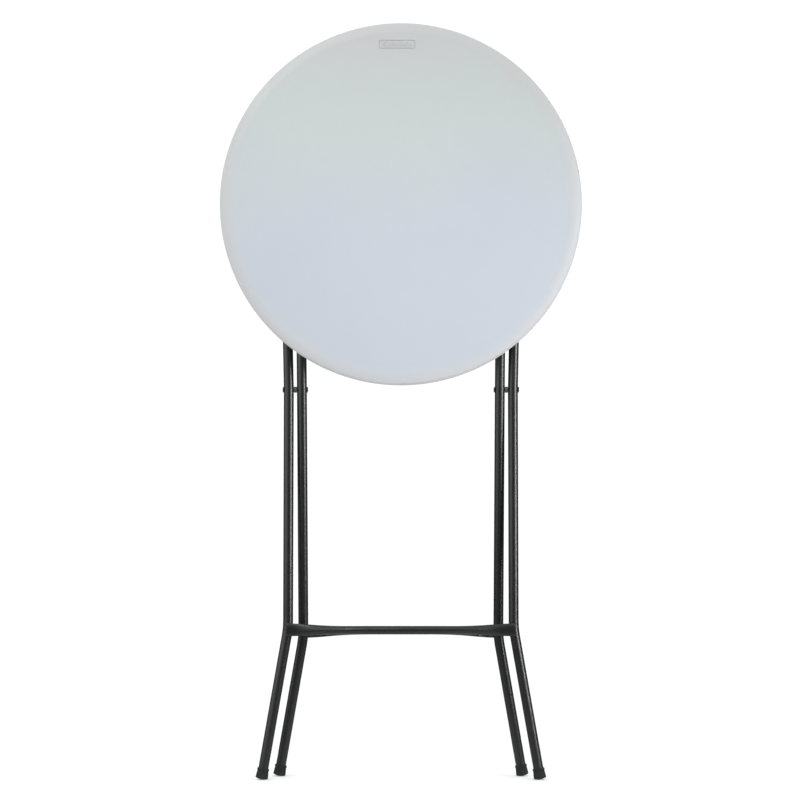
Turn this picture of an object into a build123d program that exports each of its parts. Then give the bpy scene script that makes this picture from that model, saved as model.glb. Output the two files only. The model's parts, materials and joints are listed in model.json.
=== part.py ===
"""Folding bistro table, stored folded: a round blow-moulded top hinged on a scissor of two steel frames.

Axes: +X along the hinge, -Y towards the face of the folded top, +Z up. Millimetres.
Origin: on the floor, under the middle of the folded table.
"""

import os
from math import asin, cos, degrees, pi, radians, sin, sqrt, tan

from build123d import *

# Scissor
PIVOT_HEIGHT = 904.0  # of the scissor pivot above the floor, folded
FOLDED_TILT = 2.4  # of each frame from upright, folded, degrees
OPEN_TILT = 30.0  # of each frame from upright, in use, degrees

# Steel tube
LEG_DIAMETER = 23.3
BAR_DIAMETER = 19.0
FOOTREST_DIAMETER = 19.8
WALL = 1.2

# Half distances between the legs' centre lines
OUTER_TOP_X = 267.0
OUTER_PIVOT_X = 261.0
OUTER_KNEE_X = 262.0
INNER_TOP_X = 233.0
INNER_PIVOT_X = 230.5
INNER_KNEE_X = 227.8
SPLAY = 9.95  # of the lower legs from upright, degrees
OUTER_KNEE_DROP = 555.0  # pivot to knee, along the frame
INNER_KNEE_DROP = 578.0
KNEE_RADIUS = 200.0
PIVOT_BEND_RADIUS = 320.0

# Top bars, above the pivot along each frame
HINGE_RISE = 286.5
REST_BAR_RISE = 271.5
LEG_OVERRUN = 9.6  # of each leg past the middle of its top bar

# Plugs in the open upper ends of the legs
PLUG_DOME = 1.6
PLUG_LENGTH = 12.0
PLUG_WALL = 2.0

# Footrest bars
OUTER_FOOTREST_DROP = 558.0
INNER_FOOTREST_DROP = 567.0
FOOTREST_BOW = 30.0
FOOTREST_OVERRUN = 4.5  # past the centre line of the legs
FLAT_HEIGHT = 29.0  # of the pressed end
FLAT_THICKNESS = 6.0

# Foot caps
FOOT_DIAMETER = 29.2
FOOT_LIP_DIAMETER = 28.2
FOOT_DOME_RADIUS = 34.0
FOOT_EDGE_RADIUS = 2.2  # between the sole and the side
FOOT_HEIGHT = 26.0
FOOT_FLOOR = 8.5
FOOT_LIP_HEIGHT = 5.0
FOOT_LIP_STEP = 0.9
FOOT_LIP_SOFT = 1.0

# Top
TOP_DIAMETER = 838.2
TOP_THICKNESS = 38.0
TOP_SKIN = 3.0
TOP_CENTRE_RISE = 143.0  # of the top's middle above the hinge, folded
HINGE_DEPTH = 16.0  # hinge axis to the underside
RIM_WIDTH = 24.0
RIM_DEPTH = 5.0  # of the rim below the field of the underside
EDGE_SOFT_RADIUS = 46.0
EDGE_SOFT_ANGLE = 25.0
EDGE_ROUND_RADIUS = 9.0
RIM_ROUND_RADIUS = 6.0
DIMPLE_MOUTH = 12.0
DIMPLE_TIP = 6.5
DIMPLE_RINGS = ((92.0, 8), (172.0, 16), (252.0, 24), (332.0, 32))
BADGE_WIDTH = 83.0
BADGE_HEIGHT = 19.9
BADGE_RISE = 369.0
BADGE_X = -8.8
BADGE_GROOVE = 2.0
BADGE_DEPTH = 1.4
BADGE_CORNER = 1.5

# Hinges
HINGE_X = 150.0
STRAP_WIDTH = 46.0
STRAP_THICKNESS = 2.0
BUSH_WALL = 2.5
STRAP_REACH = 36.0
STRAP_CORNER = 7.0

# Catches for the outer frame's top bar
CATCH_X = 150.0
CATCH_WIDTH = 40.0
CATCH_FRONT = 18.0  # of its near edge before the bar's middle
CATCH_LEDGE = 7.0  # of its near wall's end from the bar's middle
CATCH_SLOPE = 5.0
CATCH_HORN = 11.0  # of its far wall past the bar's middle
CATCH_HORN_SLOPE = 3.0
CATCH_WALL_NEAR = 16.0
CATCH_WALL_FAR = 22.0
CATCH_REACH = 39.0
CATCH_FLANGE = 5.0
CATCH_CORNER = 6.0

# Storage clips for the inner legs
STORE_WIDTH = 34.0  # along the leg
STORE_RISE = -284.0  # from the top's middle
STORE_ARM = 3.0
STORE_ARM_RISE = 6.0  # past the leg's middle
STORE_FLANGE = 4.0
STORE_FLANGE_LENGTH = 28.0

# Latch
LEVER_WIDTH = 16.0
LEVER_HUB_RADIUS = 6.0
BRACKET_GAP = 22.0
BRACKET_WALL = 2.0
BRACKET_OVERRUN = 10.0  # of its base past the pin
BRACKET_EAR_RADIUS = 6.5
BRACKET_EAR_FOOT = 18.0
PIN_DIAMETER = 5.0
PIN_HEAD_STEP = 1.5
SPRING_WIRE = 1.2
SPRING_RADIUS = 3.9
SPRING_TURNS = 2
SPRING_TAIL = 22.0

# Screws
SCREW_DIAMETER = 5.0
SCREW_LENGTH = 16.0
SCREW_HEAD_DIAMETER = 9.5
SCREW_HEAD_HEIGHT = 3.2
RECESS_LENGTH = 4.6
RECESS_WIDTH = 1.2
RECESS_DEPTH = 1.6
BOSS_RADIUS = 8.0

# Pivot rivets
RIVET_DIAMETER = 8.0
RIVET_HEAD_DIAMETER = 13.5
RIVET_HEAD_HEIGHT = 2.4
SPACER_DIAMETER = 14.0

# Clearances
RUNNING_FIT = 0.08  # radial, shafts in bores
CLEAR = 0.3  # between pieces that move past each other
SCREW_FIT = 0.1  # radial, screws in metal and nylon

LEG_RADIUS = LEG_DIAMETER / 2
BAR_RADIUS = BAR_DIAMETER / 2
TOP_RADIUS = TOP_DIAMETER / 2
SIDES = (("left", -1), ("right", 1))


def frame_plane(tilt):
    """The plane of a frame that leans back by tilt degrees: +X across, +Y up along the legs, +Z forwards."""
    lean = radians(tilt)
    return Plane(origin=(0, 0, PIVOT_HEIGHT), x_dir=(1, 0, 0), z_dir=(0, -cos(lean), sin(lean)))


OUTER = frame_plane(FOLDED_TILT)
INNER = frame_plane(-FOLDED_TILT)
HINGE = INNER.from_local_coords((0, HINGE_RISE, 0))

# The top hangs upright in front of the hinge: +X across, +Y up the top, +Z from underside to face
UNDERSIDE_Y = HINGE.Y - HINGE_DEPTH
TOP_CENTRE = (0, UNDERSIDE_Y, HINGE.Z + TOP_CENTRE_RISE)
TOP_PLANE = Plane(origin=TOP_CENTRE, x_dir=(1, 0, 0), z_dir=(0, -1, 0))


def side_plane(x):
    """The top's side view at x: origin on the hinge axis, +X up the top, +Y towards the underside."""
    return Plane(origin=(x, HINGE.Y, HINGE.Z), x_dir=(0, 0, 1), z_dir=(1, 0, 0))


def under_plane(offset=0.0):
    """A plane on the underside's field, facing away from it, with its origin under the top's middle."""
    return Plane(origin=(0, UNDERSIDE_Y + offset, TOP_CENTRE[2]), x_dir=(-1, 0, 0), z_dir=(0, 1, 0))


# The rest bar's place in the side view once the table is open
OPEN = radians(OPEN_TILT)
SEAT_UP = (HINGE_RISE + REST_BAR_RISE) * sin(OPEN)
SEAT_IN = -(HINGE_RISE - REST_BAR_RISE) * cos(OPEN)

# Screw places on the underside, from the top's middle: x, up the top
STRAP_SCREW_UP = 26.5
STRAP_SCREW_X = 13.0
HINGE_SCREWS = [
    (side * HINGE_X + dx, -TOP_CENTRE_RISE + up)
    for _, side in SIDES
    for dx in (-STRAP_SCREW_X, STRAP_SCREW_X)
    for up in (-STRAP_SCREW_UP, STRAP_SCREW_UP)
]
CATCH_UP = SEAT_UP - TOP_CENTRE_RISE
CATCH_SCREW_X = 12.0
CATCH_SCREW_OUT = 29.0
CATCH_SCREWS = [
    (side * CATCH_X + dx, CATCH_UP + CATCH_SCREW_OUT)
    for _, side in SIDES
    for dx in (-CATCH_SCREW_X, CATCH_SCREW_X)
]
LATCH_PIVOT_UP = 247.0  # in the side view
LATCH_PIVOT_IN = -2.0
LATCH_BASE_UP = 205.0
LATCH_SCREW_UP = 214.0
LATCH_SCREW_X = 9.0
LATCH_SCREWS = [(dx, LATCH_SCREW_UP - TOP_CENTRE_RISE) for dx in (-LATCH_SCREW_X, LATCH_SCREW_X)]
STORE_X = INNER_PIVOT_X + 1.2
STORE_SCREW_X = 27.0
STORE_SCREW_UP = 9.0
STORE_SCREWS = [
    (side * (STORE_X - STORE_SCREW_X), STORE_RISE + up)
    for _, side in SIDES
    for up in (-STORE_SCREW_UP, STORE_SCREW_UP)
]
ALL_SCREWS = HINGE_SCREWS + CATCH_SCREWS + LATCH_SCREWS + STORE_SCREWS
DIMPLE_SPARE = 27.0  # least distance from a dimple to a screw


def foot_centre_local(plane_tilt, knee_x, knee_drop):
    """The centre of a foot's dome in its frame's plane, on the lower leg's axis."""
    drop = (PIVOT_HEIGHT - FOOT_DOME_RADIUS) / cos(radians(plane_tilt))
    return knee_x + (drop - knee_drop) * tan(radians(SPLAY)), -drop


def leg_points(side, top_x, top_rise, pivot_x, knee_x, knee_drop):
    """A leg's centre line in its frame's plane, from its top end to the end inside its foot."""
    foot_x, foot_u = foot_centre_local(FOLDED_TILT, knee_x, knee_drop)
    back = FOOT_DOME_RADIUS - FOOT_FLOOR
    end = (foot_x + back * sin(radians(SPLAY)), foot_u - back * cos(radians(SPLAY)))
    points = [(top_x, top_rise + LEG_OVERRUN), (pivot_x, 0), (knee_x, -knee_drop), end]
    return [(side * x, u) for x, u in points]


OUTER_LEG = (OUTER_TOP_X, REST_BAR_RISE, OUTER_PIVOT_X, OUTER_KNEE_X, OUTER_KNEE_DROP)
INNER_LEG = (INNER_TOP_X, HINGE_RISE, INNER_PIVOT_X, INNER_KNEE_X, INNER_KNEE_DROP)


def leg_tube(frame, points, inner_radius):
    """A bent leg tube with the pivot's hole drilled across it; inner_radius 0 makes it a solid envelope."""
    with BuildPart() as leg:
        with BuildLine(frame) as path:
            FilletPolyline(*points, radius=(PIVOT_BEND_RADIUS, KNEE_RADIUS))
        with BuildSketch(Plane(origin=path.line @ 0, z_dir=path.line % 0)):
            Circle(LEG_RADIUS)
            if inner_radius:
                Circle(inner_radius, mode=Mode.SUBTRACT)
        sweep()
        if inner_radius:
            with BuildSketch(Plane(origin=(points[1][0], 0, PIVOT_HEIGHT), z_dir=(1, 0, 0))):
                Circle(RIVET_DIAMETER / 2 + RUNNING_FIT)
            extrude(amount=2 * LEG_RADIUS, both=True, mode=Mode.SUBTRACT)
    return leg.part


def top_bar(frame, rise, half_length, legs):
    """A straight tube across a frame, its ends shaped to its legs."""
    origin = frame.from_local_coords((-half_length, rise, 0))
    with BuildPart() as bar:
        with BuildSketch(Plane(origin=origin, z_dir=(1, 0, 0))):
            Circle(BAR_RADIUS)
            Circle(BAR_RADIUS - WALL, mode=Mode.SUBTRACT)
        extrude(amount=2 * half_length)
        for leg in legs:
            add(leg, mode=Mode.SUBTRACT)
    return bar.part.solids().sort_by(SortBy.VOLUME)[-1]


# Stations along half a footrest: distance in from its end, share of the bow, share of the pressed shape
FOOTREST_STATIONS = (
    (0.0, 0.0, 1.0),
    (24.0, 0.0, 1.0),
    (66.0, 0.16, 0.42),
    (112.0, 0.52, 0.0),
    (180.0, 0.86, 0.0),
)


def footrest_sections(half_length, inset):
    """Sections of half a footrest, from the end inwards: distance along X, bow, half height, half depth."""
    round_half = FOOTREST_DIAMETER / 2 - inset
    more_up = FLAT_HEIGHT / 2 - inset - round_half
    more_in = FLAT_THICKNESS / 2 - inset - round_half
    return [
        (half_length - back, bow * FOOTREST_BOW, round_half + flat * more_up, round_half + flat * more_in)
        for back, bow, flat in FOOTREST_STATIONS
    ]


def footrest_body(frame, drop, half_length, front, inset):
    """A bowed bar with pressed ends on the legs' faces; front is 1 ahead of the frame and -1 behind it."""
    half = footrest_sections(half_length, inset)
    middle = (0.0, FOOTREST_BOW, half[-1][2], half[-1][3])
    right = half[1:] if inset else half
    stations = [(-x, bow, up, deep) for x, bow, up, deep in right] + [middle] + list(reversed(right))
    lift = LEG_RADIUS + FLAT_THICKNESS / 2
    with BuildPart() as body:
        for x, bow, up, deep in stations:
            centre = frame.from_local_coords((x, -drop, front * (lift + bow)))
            with BuildSketch(Plane(origin=centre, x_dir=frame.y_dir, z_dir=(1, 0, 0))):
                Ellipse(up, deep)
        loft()
    return body.part


def footrest(frame, drop, half_length, front, legs):
    """A hollow footrest bar, shaped where it meets the legs."""
    cavity = footrest_body(frame, drop, half_length, front, WALL)
    with BuildPart() as bar:
        add(footrest_body(frame, drop, half_length, front, 0.0))
        add(cavity, mode=Mode.SUBTRACT)
        for leg in legs:
            add(leg, mode=Mode.SUBTRACT)
    return bar.part


def foot_cap(frame, side, knee_x, knee_drop):
    """A moulded cap with a domed sole, a socket for the tube and a lip round its mouth."""
    x, u = foot_centre_local(FOLDED_TILT, knee_x, knee_drop)
    centre = frame.from_local_coords((side * x, u, 0))
    upper = frame.from_local_coords((side * (x - sin(radians(SPLAY))), u + cos(radians(SPLAY)), 0))
    axis = upper - centre
    plane = Plane(origin=centre, x_dir=frame.z_dir, z_dir=axis.cross(frame.z_dir) * -1)
    radius = FOOT_DIAMETER / 2
    lip = FOOT_LIP_DIAMETER / 2
    dome_radius = (radius - FOOT_EDGE_RADIUS) / (1 - FOOT_EDGE_RADIUS / FOOT_DOME_RADIUS)
    dome_angle = asin(dome_radius / FOOT_DOME_RADIUS)
    mouth = FOOT_HEIGHT - FOOT_DOME_RADIUS
    floor = FOOT_FLOOR - FOOT_DOME_RADIUS
    turns = (0, dome_angle / 2, dome_angle)
    on_dome = [(FOOT_DOME_RADIUS * sin(turn), -FOOT_DOME_RADIUS * cos(turn)) for turn in turns]
    with BuildPart() as cap:
        with BuildSketch(plane):
            with BuildLine():
                sole = ThreePointArc(*on_dome)
                edge = JernArc(sole @ 1, sole % 1, FOOT_EDGE_RADIUS, 90 - degrees(dome_angle))
                Polyline(
                    edge @ 1,
                    (lip - FOOT_LIP_STEP, mouth - FOOT_LIP_HEIGHT),
                    (lip, mouth - FOOT_LIP_HEIGHT + FOOT_LIP_STEP),
                    (lip, mouth - FOOT_LIP_SOFT),
                    (lip - FOOT_LIP_SOFT, mouth),
                    (LEG_RADIUS, mouth),
                    (LEG_RADIUS, floor),
                    (0, floor),
                    (0, -FOOT_DOME_RADIUS),
                )
            make_face()
        revolve(axis=Axis(centre, axis))
    return cap.part


def tube_plugs(frame, points_by_side):
    """Two low domed plugs in the open upper ends of a frame's legs."""
    with BuildPart() as plugs:
        for points in points_by_side:
            end = Vector(*points[0], 0)
            below = Vector(*points[1], 0)
            along = (end - below).normalized()
            origin = frame.from_local_coords(tuple(end))
            axis = frame.from_local_coords(tuple(end + along)) - origin
            with BuildSketch(Plane(origin=origin, z_dir=axis)):
                Circle(LEG_RADIUS)
            extrude(amount=PLUG_DOME, taper=30)
            with BuildSketch(Plane(origin=origin, z_dir=axis)):
                Circle(LEG_RADIUS - WALL)
                Circle(LEG_RADIUS - WALL - PLUG_WALL, mode=Mode.SUBTRACT)
            extrude(amount=-PLUG_LENGTH)
    return plugs.part


def screws(places, seat_offset):
    """Pan-head screws into the underside, their heads seated seat_offset off its field."""
    with BuildPart() as group:
        for x, up in places:
            with BuildSketch(under_plane(seat_offset)):
                with Locations((-x, up)):
                    Circle(SCREW_HEAD_DIAMETER / 2)
            extrude(amount=SCREW_HEAD_HEIGHT)
            with BuildSketch(under_plane(seat_offset)):
                with Locations((-x, up)):
                    Circle(SCREW_DIAMETER / 2)
            extrude(amount=-SCREW_LENGTH)
        crowns = group.edges().filter_by(GeomType.CIRCLE).group_by(Axis.Y)[-1]
        fillet(crowns, SCREW_HEAD_HEIGHT * 0.45)
        with BuildSketch(under_plane(seat_offset + SCREW_HEAD_HEIGHT)):
            with Locations(*[(-x, up) for x, up in places]):
                Rectangle(RECESS_LENGTH, RECESS_WIDTH)
                Rectangle(RECESS_WIDTH, RECESS_LENGTH)
        extrude(amount=-RECESS_DEPTH, mode=Mode.SUBTRACT)
    return group.part


def screw_holes(places, side):
    """Holes for the screws on one side of the middle, in a sketch on the underside; side 0 takes them all."""
    with Locations(*[(-x, up) for x, up in places if x * side > 0 or side == 0]):
        Circle(SCREW_DIAMETER / 2 + SCREW_FIT)


def write(part, name):
    """Labels a finished piece and writes its file."""
    part.label = name
    export_step(part, f"parts/{name}.step")


os.makedirs("parts", exist_ok=True)

# ---- Outer frame: feet in front when open, its top bar carries the far side of the top ----
outer_points = {name: leg_points(side, *OUTER_LEG) for name, side in SIDES}
inner_points = {name: leg_points(side, *INNER_LEG) for name, side in SIDES}
outer_envelopes = [leg_tube(OUTER, outer_points[name], 0) for name, _ in SIDES]
inner_envelopes = [leg_tube(INNER, inner_points[name], 0) for name, _ in SIDES]

for name, side in SIDES:
    write(leg_tube(OUTER, outer_points[name], LEG_RADIUS - WALL), f"outer_leg_{name}")
    write(leg_tube(INNER, inner_points[name], LEG_RADIUS - WALL), f"inner_leg_{name}")
    write(foot_cap(OUTER, side, OUTER_KNEE_X, OUTER_KNEE_DROP), f"outer_foot_{name}")
    write(foot_cap(INNER, side, INNER_KNEE_X, INNER_KNEE_DROP), f"inner_foot_{name}")

write(top_bar(OUTER, REST_BAR_RISE, OUTER_TOP_X, outer_envelopes), "outer_top_bar")
write(top_bar(INNER, HINGE_RISE, INNER_TOP_X, inner_envelopes), "inner_top_bar")
outer_half = OUTER_KNEE_X + FOOTREST_OVERRUN
inner_half = INNER_KNEE_X + FOOTREST_OVERRUN
write(footrest(OUTER, OUTER_FOOTREST_DROP, outer_half, 1, outer_envelopes), "outer_footrest_bar")
write(footrest(INNER, INNER_FOOTREST_DROP, inner_half, -1, inner_envelopes), "inner_footrest_bar")
write(tube_plugs(OUTER, outer_points.values()), "outer_tube_plugs")
write(tube_plugs(INNER, inner_points.values()), "inner_tube_plugs")

# ---- Scissor pivots ----
for name, side in SIDES:
    outer_face = OUTER_PIVOT_X + LEG_RADIUS + CLEAR
    inner_face = INNER_PIVOT_X - LEG_RADIUS - CLEAR
    with BuildPart() as rivet:
        with BuildSketch(Plane(origin=(side * inner_face, 0, PIVOT_HEIGHT), z_dir=(side, 0, 0))):
            Circle(RIVET_DIAMETER / 2)
        extrude(amount=outer_face - inner_face)
        for face_x, out in ((outer_face, side), (inner_face, -side)):
            with BuildSketch(Plane(origin=(side * face_x, 0, PIVOT_HEIGHT), z_dir=(out, 0, 0))):
                Circle(RIVET_HEAD_DIAMETER / 2)
            extrude(amount=RIVET_HEAD_HEIGHT)
        rims = rivet.edges().filter_by(GeomType.CIRCLE).group_by(Axis.X)
        fillet(rims[0] + rims[-1], RIVET_HEAD_HEIGHT * 0.85)
    write(rivet.part, f"pivot_rivet_{name}")
    with BuildPart() as spacer:
        gap = OUTER_PIVOT_X - INNER_PIVOT_X - LEG_DIAMETER - 2 * CLEAR
        start = side * (INNER_PIVOT_X + LEG_RADIUS + CLEAR)
        with BuildSketch(Plane(origin=(start, 0, PIVOT_HEIGHT), z_dir=(side, 0, 0))):
            Circle(SPACER_DIAMETER / 2)
            Circle(RIVET_DIAMETER / 2, mode=Mode.SUBTRACT)
        extrude(amount=gap)
    write(spacer.part, f"pivot_spacer_{name}")

# ---- Top: blow moulded, hollow, with dimples that join its two skins ----
def far_from_screws(x, up):
    """Whether a dimple there leaves the screws' pads whole."""
    return all((x - sx) ** 2 + (up - su) ** 2 > DIMPLE_SPARE**2 for sx, su in ALL_SCREWS)


dimples = [
    (radius * cos(2 * pi * k / count), radius * sin(2 * pi * k / count))
    for radius, count in DIMPLE_RINGS
    for k in range(count)
]
dimples = [place for place in dimples if far_from_screws(*place)]
field_radius = TOP_RADIUS - RIM_WIDTH

with BuildPart() as cavity:
    with BuildSketch(TOP_PLANE.offset(TOP_SKIN)):
        Circle(field_radius - TOP_SKIN)
    extrude(amount=TOP_THICKNESS - RIM_DEPTH - 2 * TOP_SKIN)
    with BuildSketch(TOP_PLANE.offset(TOP_SKIN - RIM_DEPTH)):
        Circle(TOP_RADIUS - EDGE_ROUND_RADIUS)
        Circle(field_radius + TOP_SKIN, mode=Mode.SUBTRACT)
    extrude(amount=TOP_THICKNESS - EDGE_ROUND_RADIUS - 2 * TOP_SKIN)
    with BuildSketch(TOP_PLANE.offset(TOP_SKIN)):
        Circle(field_radius + TOP_SKIN)
        Circle(field_radius - TOP_SKIN, mode=Mode.SUBTRACT)
    extrude(amount=TOP_THICKNESS - RIM_DEPTH - EDGE_ROUND_RADIUS - TOP_SKIN)
    with BuildSketch(TOP_PLANE):
        with Locations(*dimples):
            Circle(DIMPLE_MOUTH + TOP_SKIN)
        with Locations(*ALL_SCREWS):
            Circle(BOSS_RADIUS)
    extrude(amount=TOP_THICKNESS, mode=Mode.SUBTRACT)

with BuildPart() as tabletop:
    with BuildSketch(Plane(origin=TOP_CENTRE, x_dir=(1, 0, 0), z_dir=(0, 0, 1))):
        face_y = RIM_DEPTH - TOP_THICKNESS
        soft_width = EDGE_SOFT_RADIUS * sin(radians(EDGE_SOFT_ANGLE))
        round_width = EDGE_ROUND_RADIUS * (1 - sin(radians(EDGE_SOFT_ANGLE)))
        with BuildLine():
            face = Line((0, face_y), (TOP_RADIUS - soft_width - round_width, face_y))
            soft = JernArc(face @ 1, (1, 0), EDGE_SOFT_RADIUS, EDGE_SOFT_ANGLE)
            edge = JernArc(soft @ 1, soft % 1, EDGE_ROUND_RADIUS, 90 - EDGE_SOFT_ANGLE)
            side_line = Line(edge @ 1, (TOP_RADIUS, RIM_DEPTH - RIM_ROUND_RADIUS))
            lower = JernArc(side_line @ 1, (0, 1), RIM_ROUND_RADIUS, 90)
            Polyline(
                lower @ 1,
                (field_radius + RIM_DEPTH, RIM_DEPTH),
                (field_radius, 0),
                (0, 0),
                (0, face_y),
            )
        make_face()
    revolve(axis=Axis(TOP_CENTRE, (0, 1, 0)))
    add(cavity.part, mode=Mode.SUBTRACT)
    with BuildSketch(TOP_PLANE):
        with Locations(*dimples):
            Circle(DIMPLE_MOUTH)
    dimple_depth = TOP_THICKNESS - RIM_DEPTH - TOP_SKIN
    dimple_taper = degrees(asin((DIMPLE_MOUTH - DIMPLE_TIP) / dimple_depth))
    extrude(amount=dimple_depth, taper=dimple_taper, mode=Mode.SUBTRACT)
    with BuildSketch(TOP_PLANE):
        with Locations(*ALL_SCREWS):
            Circle(SCREW_DIAMETER / 2)
    extrude(amount=SCREW_LENGTH, mode=Mode.SUBTRACT)
    with BuildSketch(TOP_PLANE.offset(TOP_THICKNESS - RIM_DEPTH)):
        with Locations((BADGE_X, BADGE_RISE)):
            RectangleRounded(BADGE_WIDTH, BADGE_HEIGHT, BADGE_CORNER)
            RectangleRounded(
                BADGE_WIDTH - 2 * BADGE_GROOVE,
                BADGE_HEIGHT - 2 * BADGE_GROOVE,
                BADGE_CORNER / 2,
                mode=Mode.SUBTRACT,
            )
    extrude(amount=-BADGE_DEPTH, mode=Mode.SUBTRACT)
write(tabletop.part, "tabletop")

# ---- Hinges: bushes and straps hold the inner frame's top bar under the top ----
bush_outer = BAR_RADIUS + BUSH_WALL
strap_outer = bush_outer + STRAP_THICKNESS
for name, side in SIDES:
    with BuildPart() as bush:
        with BuildSketch(side_plane(side * HINGE_X)):
            Circle(bush_outer)
            with Locations((0, HINGE_DEPTH / 2)):
                Rectangle(2 * bush_outer, HINGE_DEPTH)
            Circle(BAR_RADIUS + RUNNING_FIT, mode=Mode.SUBTRACT)
        extrude(amount=STRAP_WIDTH / 2, both=True)
    write(bush.part, f"hinge_bush_{name}")
    with BuildPart() as strap:
        with BuildSketch(side_plane(side * HINGE_X)):
            Circle(strap_outer)
            with Locations((0, HINGE_DEPTH / 2)):
                Rectangle(2 * strap_outer, HINGE_DEPTH)
            with Locations((0, HINGE_DEPTH - STRAP_THICKNESS / 2)):
                Rectangle(2 * STRAP_REACH, STRAP_THICKNESS)
            Circle(bush_outer, mode=Mode.SUBTRACT)
            with Locations((0, HINGE_DEPTH / 2)):
                Rectangle(2 * bush_outer, HINGE_DEPTH, mode=Mode.SUBTRACT)
            with Locations((0, HINGE_DEPTH + strap_outer)):
                Rectangle(4 * STRAP_REACH, 2 * strap_outer, mode=Mode.SUBTRACT)
        extrude(amount=STRAP_WIDTH / 2, both=True)
        ear_corners = strap.edges().filter_by(Axis.Y).filter_by(
            lambda edge: abs(abs(edge.center().Z - HINGE.Z) - STRAP_REACH) < 0.5
        )
        fillet(ear_corners, STRAP_CORNER)
        with BuildSketch(under_plane()):
            screw_holes(HINGE_SCREWS, side)
        extrude(amount=STRAP_THICKNESS, mode=Mode.SUBTRACT)
    write(strap.part, f"hinge_strap_{name}")
write(screws(HINGE_SCREWS, STRAP_THICKNESS), "hinge_screws")

# ---- Catches: the outer frame's top bar rests in these when the table is open ----
seat_radius = BAR_RADIUS + CLEAR
for name, side in SIDES:
    with BuildPart() as catch:
        with BuildSketch(side_plane(side * CATCH_X)):
            with BuildLine():
                Polyline(
                    (SEAT_UP - CATCH_FRONT, HINGE_DEPTH),
                    (SEAT_UP - CATCH_FRONT, SEAT_IN + CATCH_LEDGE + CATCH_SLOPE),
                    (SEAT_UP - CATCH_FRONT + CATCH_SLOPE, SEAT_IN + CATCH_LEDGE),
                    (SEAT_UP, SEAT_IN + CATCH_LEDGE),
                    (SEAT_UP, SEAT_IN - CATCH_HORN),
                    (SEAT_UP + CATCH_WALL_NEAR, SEAT_IN - CATCH_HORN),
                    (SEAT_UP + CATCH_WALL_NEAR + CATCH_HORN_SLOPE, SEAT_IN - CATCH_HORN + CATCH_HORN_SLOPE),
                    (SEAT_UP + CATCH_WALL_FAR, HINGE_DEPTH - CATCH_FLANGE),
                    (SEAT_UP + CATCH_REACH, HINGE_DEPTH - CATCH_FLANGE),
                    (SEAT_UP + CATCH_REACH, HINGE_DEPTH),
                    close=True,
                )
            make_face()
            with Locations((SEAT_UP, SEAT_IN)):
                Circle(seat_radius, mode=Mode.SUBTRACT)
            with Locations((SEAT_UP, SEAT_IN - CATCH_HORN)):
                Rectangle(2 * seat_radius, 2 * CATCH_HORN, mode=Mode.SUBTRACT)
        extrude(amount=CATCH_WIDTH / 2, both=True)
        flange_corners = catch.edges().filter_by(Axis.Y).group_by(Axis.Z)[-1]
        fillet(flange_corners, CATCH_CORNER)
        with BuildSketch(under_plane()):
            screw_holes(CATCH_SCREWS, side)
        extrude(amount=CATCH_FLANGE, mode=Mode.SUBTRACT)
    write(catch.part, f"catch_{name}")
write(screws(CATCH_SCREWS, CATCH_FLANGE), "catch_screws")

# ---- Storage clips: the inner legs lie in these when the table is folded ----
store_z = TOP_CENTRE[2] + STORE_RISE
store_depth = -(store_z - PIVOT_HEIGHT) * tan(radians(FOLDED_TILT)) - UNDERSIDE_Y
leg_spread = (INNER_TOP_X - INNER_PIVOT_X) / (HINGE_RISE + LEG_OVERRUN)
cradle = LEG_RADIUS + CLEAR
clip_height = store_depth + STORE_ARM_RISE
for name, side in SIDES:
    clip_top = Plane(origin=(side * STORE_X, UNDERSIDE_Y, store_z), x_dir=(side, 0, 0), z_dir=(0, 0, side))
    leg_middle = clip_top.from_local_coords((0, store_depth, 0))
    leg_run = INNER.y_dir + Vector(side * leg_spread, 0, 0)
    with BuildPart() as clip:
        with BuildSketch(clip_top):
            with Locations((0, clip_height / 2)):
                Rectangle(2 * (cradle + STORE_ARM), clip_height)
            with Locations((STORE_ARM - STORE_FLANGE_LENGTH, STORE_FLANGE / 2)):
                Rectangle(STORE_FLANGE_LENGTH, STORE_FLANGE)
        extrude(amount=STORE_WIDTH / 2, both=True)
        with BuildSketch(Plane(origin=leg_middle, x_dir=(1, 0, 0), z_dir=leg_run)):
            Circle(cradle)
            with Locations((0, cradle)):
                Rectangle(2 * cradle, 2 * cradle)
        extrude(amount=STORE_WIDTH, both=True, mode=Mode.SUBTRACT)
        with BuildSketch(under_plane()):
            screw_holes(STORE_SCREWS, side)
        extrude(amount=STORE_FLANGE, mode=Mode.SUBTRACT)
    write(clip.part, f"storage_clip_{name}")
write(screws(STORE_SCREWS, STORE_FLANGE), "storage_clip_screws")

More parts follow.
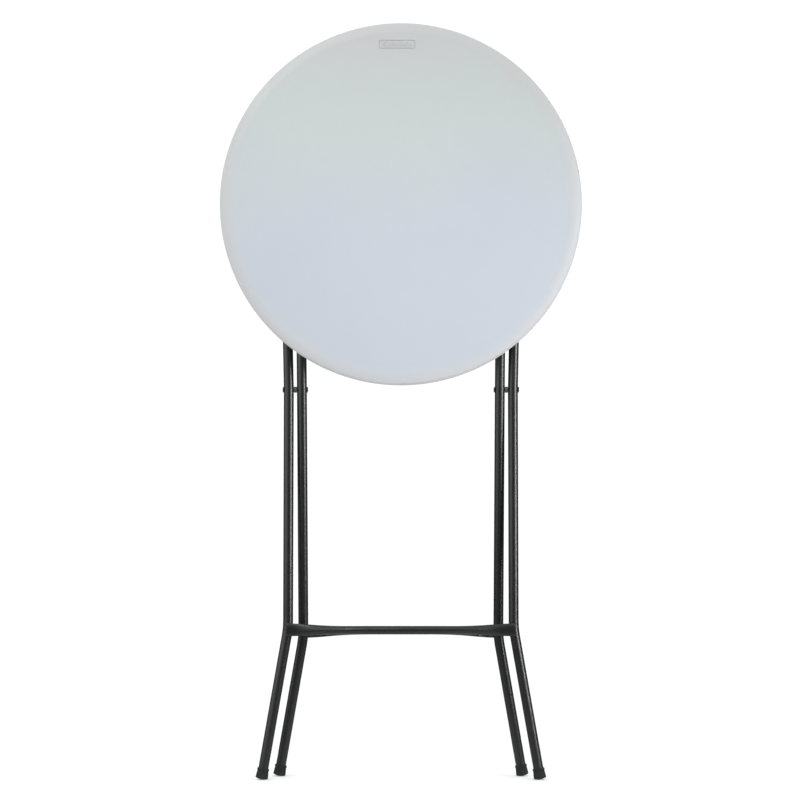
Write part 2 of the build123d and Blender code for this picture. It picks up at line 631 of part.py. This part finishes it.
# ---- Latch: a sprung hook in the middle that holds the top down on the outer frame's top bar ----
base_start = LATCH_BASE_UP
base_end = LATCH_PIVOT_UP + BRACKET_OVERRUN
LATCH_PIVOT = (LATCH_PIVOT_UP, LATCH_PIVOT_IN)
with BuildPart() as bracket:
    with BuildSketch(side_plane(0)):
        with Locations(((base_start + base_end) / 2, HINGE_DEPTH - BRACKET_WALL / 2)):
            Rectangle(base_end - base_start, BRACKET_WALL)
    extrude(amount=BRACKET_GAP / 2 + BRACKET_WALL, both=True)
    for side in (-1, 1):
        with BuildSketch(side_plane(side * (BRACKET_GAP + BRACKET_WALL) / 2)):
            with BuildLine():
                Polyline(
                    (LATCH_PIVOT_UP - BRACKET_EAR_FOOT, HINGE_DEPTH),
                    (LATCH_PIVOT_UP - BRACKET_EAR_RADIUS, LATCH_PIVOT_IN),
                    (LATCH_PIVOT_UP + BRACKET_EAR_RADIUS, LATCH_PIVOT_IN),
                    (base_end, HINGE_DEPTH),
                    close=True,
                )
            make_face()
            with Locations(LATCH_PIVOT):
                Circle(BRACKET_EAR_RADIUS)
                Circle(PIN_DIAMETER / 2, mode=Mode.SUBTRACT)
        extrude(amount=BRACKET_WALL / 2, both=True)
    with BuildSketch(under_plane()):
        screw_holes(LATCH_SCREWS, 0)
    extrude(amount=BRACKET_WALL, mode=Mode.SUBTRACT)
write(bracket.part, "latch_bracket")

pin_half = BRACKET_GAP / 2 + BRACKET_WALL
with BuildPart() as pin:
    with BuildSketch(side_plane(0)):
        with Locations(LATCH_PIVOT):
            Circle(PIN_DIAMETER / 2)
    extrude(amount=pin_half, both=True)
    for side in (-1, 1):
        head = side_plane(side * pin_half).from_local_coords((*LATCH_PIVOT, 0))
        with BuildSketch(Plane(origin=head, z_dir=(side, 0, 0))):
            Circle(PIN_DIAMETER / 2 + PIN_HEAD_STEP)
        extrude(amount=PIN_HEAD_STEP, taper=30)
write(pin.part, "latch_pin")

# The lever's outline in the side view: up the top from its pin, then off the hook's face to the underside
HOOK_FACE = SEAT_IN - BAR_RADIUS - CLEAR
HOOK_TIP = SEAT_UP - LATCH_PIVOT_UP + 3
LEVER_OUTLINE = (
    (-5, LATCH_PIVOT_IN + 3 - HOOK_FACE),
    (5, LATCH_PIVOT_IN + 3 - HOOK_FACE),
    (12, 0),
    (HOOK_TIP, 0),
    (HOOK_TIP - 5, -6),
    (8, -7),
    (-8, -10),
    (-40, -12),
    (-41, -8),
    (-14, -3),
)
with BuildPart() as lever:
    with BuildSketch(side_plane(0)):
        with BuildLine():
            Polyline(*[(LATCH_PIVOT_UP + along, HOOK_FACE + out) for along, out in LEVER_OUTLINE], close=True)
        make_face()
        with Locations(LATCH_PIVOT):
            Circle(LEVER_HUB_RADIUS)
            Circle(PIN_DIAMETER / 2 + RUNNING_FIT, mode=Mode.SUBTRACT)
    extrude(amount=LEVER_WIDTH / 2, both=True)
write(lever.part, "latch_lever")

coil_start = LEVER_WIDTH / 2 + CLEAR
with BuildPart() as spring:
    for side in (-1, 1):
        for turn in range(SPRING_TURNS):
            with BuildSketch(side_plane(side * (coil_start + SPRING_WIRE * (turn + 0.5)))):
                with Locations(LATCH_PIVOT):
                    Circle(SPRING_RADIUS + SPRING_WIRE / 2)
                    Circle(SPRING_RADIUS - SPRING_WIRE / 2, mode=Mode.SUBTRACT)
            extrude(amount=SPRING_WIRE / 2, both=True)
        tail_x = side * (coil_start + SPRING_WIRE * SPRING_TURNS / 2)
        tail_start = (LATCH_PIVOT_UP, LATCH_PIVOT_IN + SPRING_RADIUS, 0)
        with BuildSketch(Plane(origin=side_plane(tail_x).from_local_coords(tail_start), z_dir=(0, 0, -1))):
            Circle(0.4 * SPRING_WIRE)
        extrude(amount=SPRING_TAIL)
write(spring.part, "latch_spring")
write(screws(LATCH_SCREWS, BRACKET_WALL), "latch_screws")
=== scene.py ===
"""Folding bistro table: materials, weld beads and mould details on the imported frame, in a white studio."""

import json
import math
import random

import bmesh
import bpy
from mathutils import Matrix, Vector


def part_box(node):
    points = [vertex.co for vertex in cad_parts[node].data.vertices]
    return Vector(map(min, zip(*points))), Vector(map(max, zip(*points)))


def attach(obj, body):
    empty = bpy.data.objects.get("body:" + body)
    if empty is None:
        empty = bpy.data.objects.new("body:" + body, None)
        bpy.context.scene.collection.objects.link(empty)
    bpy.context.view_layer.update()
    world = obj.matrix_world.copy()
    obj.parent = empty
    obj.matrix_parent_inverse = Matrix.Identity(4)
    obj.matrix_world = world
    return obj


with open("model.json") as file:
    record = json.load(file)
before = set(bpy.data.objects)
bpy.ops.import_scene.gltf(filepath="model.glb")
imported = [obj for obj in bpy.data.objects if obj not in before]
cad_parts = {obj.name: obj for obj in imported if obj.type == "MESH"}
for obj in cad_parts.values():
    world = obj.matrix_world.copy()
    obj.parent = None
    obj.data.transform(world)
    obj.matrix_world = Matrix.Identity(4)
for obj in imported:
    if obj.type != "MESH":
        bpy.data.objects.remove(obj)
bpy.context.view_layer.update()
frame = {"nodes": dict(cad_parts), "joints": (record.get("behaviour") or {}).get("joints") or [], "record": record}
nodes = frame["nodes"]
scene = bpy.context.scene
rng = random.Random(33)

MM = 0.001
SIDES = (("left", -1), ("right", 1))


# ---------------------------------------------------------------- places, from the frame

def joint_place(name):
    """Where a joint lies in the frame."""
    found = next(j for j in frame["joints"] if j["name"] == name)
    return Vector(found["pos_m"])


PIVOT = joint_place("inner_fold")
HINGE = joint_place("top_tilt")
FOLDED_TILT = math.atan2(-HINGE.y, HINGE.z - PIVOT.z)  # of each frame from upright


def node_box(name):
    """A node's lowest and highest corners."""
    low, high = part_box(name)
    return Vector(low), Vector(high)


def frame_axes(tilt):
    """The up and forward directions of a frame that leans back by tilt."""
    up = Vector((0, math.sin(tilt), math.cos(tilt)))
    forward = Vector((0, -math.cos(tilt), math.sin(tilt)))
    return up, forward


OUTER_UP, OUTER_FORWARD = frame_axes(FOLDED_TILT)
INNER_UP, INNER_FORWARD = frame_axes(-FOLDED_TILT)


# ---------------------------------------------------------------- material helpers

class Graph:
    """A material under construction: its nodes, links and shader."""

    def __init__(self, name):
        self.material = bpy.data.materials.new(name)
        self.material.use_nodes = True
        self.nodes = self.material.node_tree.nodes
        self.links = self.material.node_tree.links
        self.nodes.clear()
        self.output = self.nodes.new("ShaderNodeOutputMaterial")
        self.shader = self.nodes.new("ShaderNodeBsdfPrincipled")
        self.links.new(self.shader.outputs["BSDF"], self.output.inputs["Surface"])
        self.coords = self.nodes.new("ShaderNodeTexCoord").outputs["Object"]

    def set(self, **values):
        """Sets inputs of the shader, with _ for a space in their names."""
        for name, value in values.items():
            self.shader.inputs[name.replace("_", " ")].default_value = value

    def plug(self, value, socket):
        """Sets a socket to a number or colour, or links another socket to it."""
        if isinstance(value, bpy.types.NodeSocket):
            self.links.new(value, socket)
        else:
            socket.default_value = value

    def noise(self, scale, detail=2.0, roughness=0.5):
        """Cloudy noise, between 0 and 1."""
        node = self.nodes.new("ShaderNodeTexNoise")
        node.inputs["Scale"].default_value = scale
        node.inputs["Detail"].default_value = detail
        node.inputs["Roughness"].default_value = roughness
        self.links.new(self.coords, node.inputs["Vector"])
        return node.outputs["Fac"]

    def cells(self, scale):
        """Distance to the middle of the nearest cell of a cellular pattern."""
        node = self.nodes.new("ShaderNodeTexVoronoi")
        node.inputs["Scale"].default_value = scale
        self.links.new(self.coords, node.inputs["Vector"])
        return node.outputs["Distance"]

    def remap(self, value, low, high, to_low=0.0, to_high=1.0):
        """A value stretched from low..high to to_low..to_high, and held within them."""
        node = self.nodes.new("ShaderNodeMapRange")
        self.links.new(value, node.inputs["Value"])
        for name, number in (("From Min", low), ("From Max", high), ("To Min", to_low), ("To Max", to_high)):
            node.inputs[name].default_value = number
        return node.outputs["Result"]

    def calc(self, operation, a, b):
        """One step of arithmetic on sockets or numbers."""
        node = self.nodes.new("ShaderNodeMath")
        node.operation = operation
        self.plug(a, node.inputs[0])
        self.plug(b, node.inputs[1])
        return node.outputs["Value"]

    def axis(self, letter):
        """One of the object's coordinates."""
        node = self.nodes.new("ShaderNodeSeparateXYZ")
        self.links.new(self.coords, node.inputs["Vector"])
        return node.outputs[letter]

    def mix(self, factor, a, b):
        """Colour a where the factor is 0 and colour b where it is 1."""
        node = self.nodes.new("ShaderNodeMix")
        node.data_type = "RGBA"
        self.plug(factor, node.inputs["Factor"])
        self.plug(a, node.inputs["A"])
        self.plug(b, node.inputs["B"])
        return node.outputs["Result"]

    def bump(self, *layers):
        """Bump from several (height, distance in metres, strength) layers."""
        normal = None
        for height, distance, strength in layers:
            node = self.nodes.new("ShaderNodeBump")
            node.inputs["Distance"].default_value = distance
            node.inputs["Strength"].default_value = strength
            self.links.new(height, node.inputs["Height"])
            if normal:
                self.links.new(normal, node.inputs["Normal"])
            normal = node.outputs["Normal"]
        self.links.new(normal, self.shader.inputs["Normal"])

    def painted_light_mask(self, low, high):
        """Where the surface turns sharply outwards, or into a hollow when low is above high; a mask for painted
        edge highlights and painted shade in hollows.
        """
        node = self.nodes.new("ShaderNodeNewGeometry")
        return self.remap(node.outputs["Pointiness"], low, high)


def moulded_top():
    """Pale blow-moulded polyethylene: fine grain, colour that drifts over the disc from bluish low down to
    greenish higher up, darker low down as painted shade, neutral at the rim, with painted shade in hollows.
    """
    g = Graph("moulded_top")
    low, high = node_box("tabletop")
    centre = (low + high) / 2
    radius = (high.x - low.x) / 2
    height = g.remap(g.axis("Z"), low.z, high.z)
    wander = g.remap(g.noise(3.2, 3.0), 0.3, 0.7, -0.10, 0.10)
    drift = g.calc("ADD", height, wander)
    away = g.calc("SUBTRACT", g.axis("Z"), centre.z)
    across = g.axis("X")
    squares = g.calc("ADD", g.calc("MULTIPLY", away, away), g.calc("MULTIPLY", across, across))
    from_middle = g.calc("POWER", squares, 0.5)
    rim = g.calc("ADD", g.calc("DIVIDE", from_middle, radius), g.calc("MULTIPLY", wander, 0.35))
    # Bluish low down and darker towards the bottom: the darkening low down is painted shade.
    cool = g.mix(g.remap(drift, 0.0, 0.5), (0.562, 0.602, 0.660, 1), (0.592, 0.638, 0.701, 1))
    cool_to_green = g.mix(g.remap(drift, 0.42, 0.72), cool, (0.626, 0.676, 0.667, 1))
    colour = g.mix(g.remap(drift, 0.80, 0.97), cool_to_green, (0.640, 0.645, 0.645, 1))
    colour = g.mix(g.remap(rim, 0.90, 0.99, 0.0, 0.75), colour, (0.630, 0.630, 0.628, 1))
    mottle = g.remap(g.noise(55.0, 4.0, 0.6), 0.35, 0.65, 0.0, 0.05)
    colour = g.mix(mottle, colour, (0.50, 0.52, 0.55, 1))
    # Painted shade: hollows such as the panel's groove are darkened part way towards dark grey.
    painted_hollow_shade = g.painted_light_mask(0.47, 0.40)
    colour = g.mix(g.calc("MULTIPLY", painted_hollow_shade, 0.5), colour, (0.30, 0.30, 0.29, 1))
    g.links.new(colour, g.shader.inputs["Base Color"])
    g.links.new(g.remap(g.noise(14.0, 5.0, 0.65), 0.3, 0.7, 0.42, 0.54), g.shader.inputs["Roughness"])
    swirl = g.noise(240.0, 3.0, 0.55)
    grain = g.cells(1150.0)
    g.bump((g.noise(9.0, 2.0), 0.0006, 0.25), (swirl, 0.00008, 0.35), (grain, 0.00007, 0.55))
    g.set(Specular_IOR_Level=0.42)
    return g.material


def powder_coat(name="powder_coat", base=(0.0090, 0.0092, 0.0096, 1), light=(0.015, 0.0153, 0.0159, 1)):
    """Black powder coat on steel: orange-peel skin, fine specks, edges painted a little lighter as a highlight."""
    g = Graph(name)
    cloud = g.remap(g.noise(38.0, 4.0, 0.6), 0.35, 0.7, 0.0, 0.55)
    colour = g.mix(cloud, base, light)
    specks = g.remap(g.cells(700.0), 0.0, 0.08, 0.15, 0.0)
    colour = g.mix(specks, colour, (0.05, 0.05, 0.052, 1))
    # Painted highlight: sharp outward edges turn lighter grey.
    colour = g.mix(g.painted_light_mask(0.54, 0.64), colour, (0.034, 0.034, 0.036, 1))
    g.links.new(colour, g.shader.inputs["Base Color"])
    g.links.new(g.remap(g.noise(90.0, 4.0, 0.6), 0.3, 0.7, 0.26, 0.33), g.shader.inputs["Roughness"])
    g.bump((g.noise(620.0, 2.0), 0.00003, 0.12), (g.cells(2200.0), 0.00002, 0.12))
    g.set(Specular_IOR_Level=0.55)
    return g.material


def rubber():
    """Matte black rubber of the feet, dusty towards the sole."""
    g = Graph("foot_rubber")
    dust = g.remap(g.noise(120.0, 5.0, 0.7), 0.42, 0.75, 0.0, 0.6)
    low_down = g.remap(g.axis("Z"), 0.012, 0.0)
    dust = g.calc("MULTIPLY", dust, g.calc("ADD", low_down, 0.25))
    colour = g.mix(dust, (0.013, 0.013, 0.0135, 1), (0.085, 0.083, 0.080, 1))
    g.links.new(colour, g.shader.inputs["Base Color"])
    g.links.new(g.remap(g.noise(60.0, 3.0), 0.3, 0.7, 0.62, 0.8), g.shader.inputs["Roughness"])
    g.bump((g.noise(900.0, 3.0), 0.00012, 0.5), (g.noise(60.0, 2.0), 0.0003, 0.2))
    g.set(Specular_IOR_Level=0.35)
    return g.material


def nylon():
    """Black moulded nylon of the small fittings, with fine spark-eroded grain and edges painted lighter as a
    highlight.
    """
    g = Graph("black_nylon")
    cloud = g.remap(g.noise(150.0, 3.0), 0.3, 0.7)
    colour = g.mix(cloud, (0.010, 0.010, 0.011, 1), (0.020, 0.020, 0.021, 1))
    # Painted highlight: sharp outward edges turn lighter grey.
    colour = g.mix(g.painted_light_mask(0.53, 0.65), colour, (0.07, 0.07, 0.072, 1))
    g.links.new(colour, g.shader.inputs["Base Color"])
    g.links.new(g.remap(g.noise(220.0, 3.0), 0.3, 0.7, 0.48, 0.62), g.shader.inputs["Roughness"])
    g.bump((g.cells(1400.0), 0.00006, 0.6))
    return g.material


def zinc():
    """Bright zinc plating on screws, pin and spring, with fine turning marks."""
    g = Graph("zinc_plate")
    stain = g.remap(g.noise(300.0, 4.0, 0.65), 0.4, 0.7)
    colour = g.mix(stain, (0.62, 0.62, 0.60, 1), (0.46, 0.45, 0.40, 1))
    g.links.new(colour, g.shader.inputs["Base Color"])
    g.links.new(g.remap(g.noise(500.0, 3.0), 0.3, 0.7, 0.24, 0.42), g.shader.inputs["Roughness"])
    g.bump((g.noise(1800.0, 2.0), 0.00004, 0.4))
    g.set(Metallic=1.0)
    return g.material


def weld_steel():
    """A coated weld bead: the powder coat's colour, a little rougher."""
    g = Graph("coated_weld")
    cloud = g.remap(g.noise(400.0, 4.0), 0.35, 0.65)
    colour = g.mix(cloud, (0.012, 0.012, 0.013, 1), (0.026, 0.026, 0.027, 1))
    g.links.new(colour, g.shader.inputs["Base Color"])
    g.links.new(g.remap(g.noise(700.0, 3.0), 0.3, 0.7, 0.36, 0.55), g.shader.inputs["Roughness"])
    g.bump((g.noise(1100.0, 3.0), 0.00012, 0.5))
    return g.material


MATERIALS = {
    "white_top": moulded_top(),
    "black_steel": powder_coat(),
    "black_rubber": rubber(),
    "black_nylon": nylon(),
    "black_rivet": powder_coat("rivet_black", base=(0.010, 0.010, 0.011, 1), light=(0.018, 0.018, 0.019, 1)),
    "zinc_steel": zinc(),
}
WELD = weld_steel()

for entry in frame["record"]["subparts"]:
    mesh = nodes[entry["node"]].data
    mesh.materials.clear()
    mesh.materials.append(MATERIALS[entry["material_slot"]])


# ---------------------------------------------------------------- mesh helpers

BEAD_JITTER = 0.06  # random part of a bead's thickness
TIP_SHARE = 0.35  # thickness of an open bead's tips
TIP_LENGTH = 0.25  # of an open bead, over which each end thins
OFF_BEAD = Vector((0.31, 0.17, 0.93))  # a direction that no bead runs in


def piece(name, mesh, body, material):
    """A visible piece that rides on a body."""
    obj = bpy.data.objects.new(name, mesh)
    scene.collection.objects.link(obj)
    mesh.materials.append(material)
    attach(obj, body)


def smooth_mesh(name, bm):
    """A mesh with smooth shading from a finished bmesh."""
    for face in bm.faces:
        face.smooth = True
    mesh = bpy.data.meshes.new(name)
    bm.to_mesh(mesh)
    bm.free()
    return mesh


def bead_mesh(name, points, radius, closed=True, ripple=0.22, pitch=2.6 * MM, around=10):
    """A bead along a line: a tube whose thickness rises and falls in ripples, and that thins at open ends."""
    bm = bmesh.new()
    count = len(points)
    rings = []
    travelled = 0.0
    phase = rng.random() * math.tau
    for i, point in enumerate(points):
        before = points[i - 1] if closed or i else points[0]
        after = points[(i + 1) % count] if closed or i < count - 1 else points[-1]
        along = (after - before).normalized()
        side = along.cross(OFF_BEAD).normalized()
        over = side.cross(along)
        if i:
            travelled += (point - points[i - 1]).length
        wave = ripple * math.sin(math.tau * travelled / pitch + phase)
        swell = 1 + wave + rng.uniform(-BEAD_JITTER, BEAD_JITTER)
        if not closed:
            from_end = min(i, count - 1 - i) / count
            swell *= TIP_SHARE + (1 - TIP_SHARE) * min(1.0, from_end / TIP_LENGTH)
        ring = []
        for k in range(around):
            angle = math.tau * k / around
            outward = side * math.cos(angle) + over * math.sin(angle)
            ring.append(bm.verts.new(point + outward * radius * swell))
        rings.append(ring)
    spans = count if closed else count - 1
    for i in range(spans):
        here, there = rings[i], rings[(i + 1) % count]
        for k in range(around):
            beside = (k + 1) % around
            bm.faces.new((here[k], here[beside], there[beside], there[k]))
    if not closed:
        bm.faces.new(reversed(rings[0]))
        bm.faces.new(rings[-1])
    bmesh.ops.recalc_face_normals(bm, faces=bm.faces)
    return smooth_mesh(name, bm)


# ---------------------------------------------------------------- weld beads

LEG_RADIUS = 11.65 * MM
FOOTREST_OVERRUN = 4.5 * MM  # of each footrest past its legs' centre lines
BEAD_LIFT = 0.3 * MM  # of a bead's centre line off the surface
TOP_BEAD_RADIUS = 1.7 * MM
TOP_BEAD_STEPS = 72
END_BEAD_RADIUS = 1.5 * MM
END_BEAD_HALF = 8 * MM  # half the length of a footrest bead
END_BEAD_STEPS = 22
END_SHARE = 0.93  # of the footrest's half height, where its beads lie


def top_bar_welds(body, bar):
    """A bead round each end of a top bar, where it meets its legs."""
    low, high = node_box(bar)
    centre = (low + high) / 2
    bar_radius = (high.z - low.z) / 2
    to_leg = math.sqrt(LEG_RADIUS**2 - bar_radius**2)
    for side_name, side in SIDES:
        leg_x = high.x + to_leg
        points = []
        for k in range(TOP_BEAD_STEPS):
            angle = math.tau * k / TOP_BEAD_STEPS
            across = bar_radius * math.cos(angle)
            up = bar_radius * math.sin(angle)
            reach = math.sqrt(LEG_RADIUS**2 - across**2)
            points.append(Vector((side * (leg_x - reach - BEAD_LIFT), centre.y + across, centre.z + up)))
        name = f"{bar}_weld_{side_name}"
        piece(name, bead_mesh(name, points, TOP_BEAD_RADIUS), body, WELD)


def footrest_welds(body, bar, up, forward):
    """A bead above and one below each pressed footrest end, where it lies on its leg."""
    low, high = node_box(bar)
    drop = (PIVOT.z - (low.z + high.z) / 2) / up.z
    half_up = (high.z - low.z) / 2 * END_SHARE
    leg_x = high.x - FOOTREST_OVERRUN
    for side_name, side in SIDES:
        for place, sign in (("upper", 1), ("lower", -1)):
            points = []
            for k in range(END_BEAD_STEPS + 1):
                across = END_BEAD_HALF * (2 * k / END_BEAD_STEPS - 1)
                out = forward * (math.sqrt(LEG_RADIUS**2 - across**2) + BEAD_LIFT)
                sideways = Vector((side * leg_x + across, 0, 0))
                points.append(PIVOT + up * (sign * half_up - drop) + out + sideways)
            name = f"{bar}_weld_{side_name}_{place}"
            mesh = bead_mesh(name, points, END_BEAD_RADIUS, closed=False)
            piece(name, mesh, body, WELD)


top_bar_welds("outer_frame", "outer_top_bar")
top_bar_welds("inner_frame", "inner_top_bar")
footrest_welds("outer_frame", "outer_footrest_bar", OUTER_UP, OUTER_FORWARD)
footrest_welds("inner_frame", "inner_footrest_bar", INNER_UP, -INNER_FORWARD)


# ---------------------------------------------------------------- mould details of the top

SEAM_DEPTH = 14 * MM  # from the rim's lower edge
SEAM_RADIUS = 0.35 * MM
SEAM_STEPS = 720
PANEL_X = -8.8 * MM
PANEL_RISE = 369 * MM  # above the middle of the top
RIB_COUNT = 15
RIB_PITCH = 4.6 * MM
RIB_WIDTH = 2.2 * MM
RIB_DEPTH = 1.0 * MM
RIB_LENGTH = 10 * MM
RIB_ROUND = 0.35 * MM


def parting_line():
    """The thin seam that the mould leaves round the rim."""
    low, high = node_box("tabletop")
    centre = (low + high) / 2
    radius = (high.x - low.x) / 2
    points = []
    for k in range(SEAM_STEPS):
        angle = math.tau * k / SEAM_STEPS
        across, up = radius * math.sin(angle), radius * math.cos(angle)
        points.append(Vector((across, high.y - SEAM_DEPTH, centre.z + up)))
    mesh = bead_mesh("top_parting_line", points, SEAM_RADIUS, ripple=0.10, pitch=40 * MM, around=8)
    piece("top_parting_line", mesh, "top", MATERIALS["white_top"])


def moulded_panel():
    """A row of plain upright ribs in the grooved rectangle near the rim."""
    low, high = node_box("tabletop")
    middle_z = (low.z + high.z) / 2 + PANEL_RISE
    bm = bmesh.new()
    for k in range(RIB_COUNT):
        x = PANEL_X + (k - (RIB_COUNT - 1) / 2) * RIB_PITCH
        made = bmesh.ops.create_cube(bm, size=1.0)
        for v in made["verts"]:
            across, deep, along = v.co.x * RIB_WIDTH, v.co.y * RIB_DEPTH, v.co.z * RIB_LENGTH
            v.co = Vector((x + across, low.y + deep, middle_z + along))
    bmesh.ops.bevel(bm, geom=list(bm.edges), offset=RIB_ROUND, segments=2, affect="EDGES")
    mesh = smooth_mesh("moulded_panel_ribs", bm)
    piece("moulded_panel_ribs", mesh, "top", MATERIALS["white_top"])


parting_line()
moulded_panel()


# ---------------------------------------------------------------- studio

SKY_LIGHT = 0.90
SKY_RISE = (0.13, 0.60)  # from where the light from above starts to where it is full, as a direction's Z
GROUND_LIGHT = 0.66
GROUND_RISE = (-0.10, -0.50)  # the same for the light from below
LEVEL_LIGHT = 0.08
BACKDROP = 1.05
FLOOR_SOLID = 0.40  # radius inside which the floor is opaque
FLOOR_END = 1.0  # radius where it has thinned out to nothing
LEGS = (0, 0, 0.80)  # the middle of what the level lights shine on
CAMERA_PLACE = (-0.0020, -7.8, 0.88)
CAMERA_LENS = 150.66


def area_light(name, place, target, size, power, spread):
    """A rectangular light aimed at a target; its spread is in degrees."""
    data = bpy.data.lights.new(name, "AREA")
    data.shape = "RECTANGLE"
    data.size, data.size_y = size
    data.energy = power
    data.spread = math.radians(spread)
    light = bpy.data.objects.new(name, data)
    scene.collection.objects.link(light)
    light.location = place
    light.rotation_euler = (Vector(target) - Vector(place)).to_track_quat("-Z", "Y").to_euler()


def floor_material():
    """Matt white that thins out to nothing away from the table, so that the floor has no edge."""
    g = Graph("floor_white")
    shade = g.remap(g.noise(0.8, 2.0), 0.3, 0.7)
    g.links.new(g.mix(shade, (0.90, 0.90, 0.90, 1), (0.92, 0.92, 0.92, 1)), g.shader.inputs["Base Color"])
    g.set(Roughness=0.9, Specular_IOR_Level=0.1, Emission_Color=(1, 1, 1, 1), Emission_Strength=0.22)
    distance = g.nodes.new("ShaderNodeVectorMath")
    distance.operation = "LENGTH"
    g.links.new(g.coords, distance.inputs[0])
    clear = g.nodes.new("ShaderNodeBsdfTransparent")
    blend = g.nodes.new("ShaderNodeMixShader")
    g.links.new(g.remap(distance.outputs["Value"], FLOOR_SOLID, FLOOR_END), blend.inputs["Fac"])
    g.links.new(g.shader.outputs["BSDF"], blend.inputs[1])
    g.links.new(clear.outputs["BSDF"], blend.inputs[2])
    g.links.new(blend.outputs["Shader"], g.output.inputs["Surface"])
    return g.material


def floor():
    """A round white floor, left out of reflections so that the legs don't turn pale near it."""
    bm = bmesh.new()
    bmesh.ops.create_circle(bm, cap_ends=True, segments=96, radius=FLOOR_END)
    mesh = bpy.data.meshes.new("floor")
    bm.to_mesh(mesh)
    bm.free()
    obj = bpy.data.objects.new("floor", mesh)
    scene.collection.objects.link(obj)
    mesh.materials.append(floor_material())
    obj.visible_glossy = False


def surround():
    """Soft light from above and below and little from the level; the camera sees plain white."""
    world = bpy.data.worlds.new("studio")
    scene.world = world
    world.use_nodes = True
    tree = world.node_tree
    tree.nodes.clear()
    out = tree.nodes.new("ShaderNodeOutputWorld")
    pick = tree.nodes.new("ShaderNodeMixShader")
    path = tree.nodes.new("ShaderNodeLightPath")
    direction = tree.nodes.new("ShaderNodeTexCoord")
    parts = tree.nodes.new("ShaderNodeSeparateXYZ")
    tree.links.new(direction.outputs["Generated"], parts.inputs["Vector"])
    above = tree.nodes.new("ShaderNodeMapRange")
    below = tree.nodes.new("ShaderNodeMapRange")
    total = tree.nodes.new("ShaderNodeMath")
    for node, rise, strength in ((above, SKY_RISE, SKY_LIGHT), (below, GROUND_RISE, GROUND_LIGHT)):
        node.interpolation_type = "SMOOTHSTEP"
        node.inputs["From Min"].default_value = rise[0]
        node.inputs["From Max"].default_value = rise[1]
        node.inputs["To Min"].default_value = LEVEL_LIGHT / 2
        node.inputs["To Max"].default_value = strength
        tree.links.new(parts.outputs["Z"], node.inputs["Value"])
    tree.links.new(above.outputs["Result"], total.inputs[0])
    tree.links.new(below.outputs["Result"], total.inputs[1])
    ambient = tree.nodes.new("ShaderNodeBackground")
    ambient.inputs["Color"].default_value = (0.97, 0.985, 1.0, 1)
    tree.links.new(total.outputs["Value"], ambient.inputs["Strength"])
    backdrop = tree.nodes.new("ShaderNodeBackground")
    backdrop.inputs["Color"].default_value = (1, 1, 1, 1)
    backdrop.inputs["Strength"].default_value = BACKDROP
    tree.links.new(path.outputs["Is Camera Ray"], pick.inputs["Fac"])
    tree.links.new(ambient.outputs["Background"], pick.inputs[1])
    tree.links.new(backdrop.outputs["Background"], pick.inputs[2])
    tree.links.new(pick.outputs["Shader"], out.inputs["Surface"])


def studio():
    """A white floor and surround, with high lights in front and behind and level ones at the sides."""
    floor()
    surround()
    area_light("front_high", (-1.7, -4.0, 4.0), (-0.15, 0, 1.65), size=(1.4, 0.9), power=4.5, spread=44)
    area_light("back_high", (-1.3, 4.0, 3.6), (0, 0, 1.65), size=(1.4, 0.9), power=2.6, spread=44)
    area_light("broad_left", (-2.47, -1.31, 1.00), LEGS, size=(5.0, 1.2), power=14.5, spread=120)
    area_light("strip_right", (2.48, -1.04, 1.00), LEGS, size=(0.5, 1.2), power=2.75, spread=50)
    area_light("strip_right_front", (2.11, -1.65, 1.00), LEGS, size=(0.5, 1.2), power=1.4, spread=50)


def camera():
    """A long lens level with the middle of the table, looking along +Y."""
    data = bpy.data.cameras.new("camera")
    data.sensor_width = 36.0
    data.lens = CAMERA_LENS
    data.clip_end = 200
    cam = bpy.data.objects.new("camera", data)
    scene.collection.objects.link(cam)
    cam.location = CAMERA_PLACE
    cam.rotation_euler = (math.pi / 2, 0, 0)
    scene.camera = cam


studio()
camera()
scene.view_settings.view_transform = "Standard"
scene.view_settings.look = "None"
scene.view_settings.exposure = 0.0
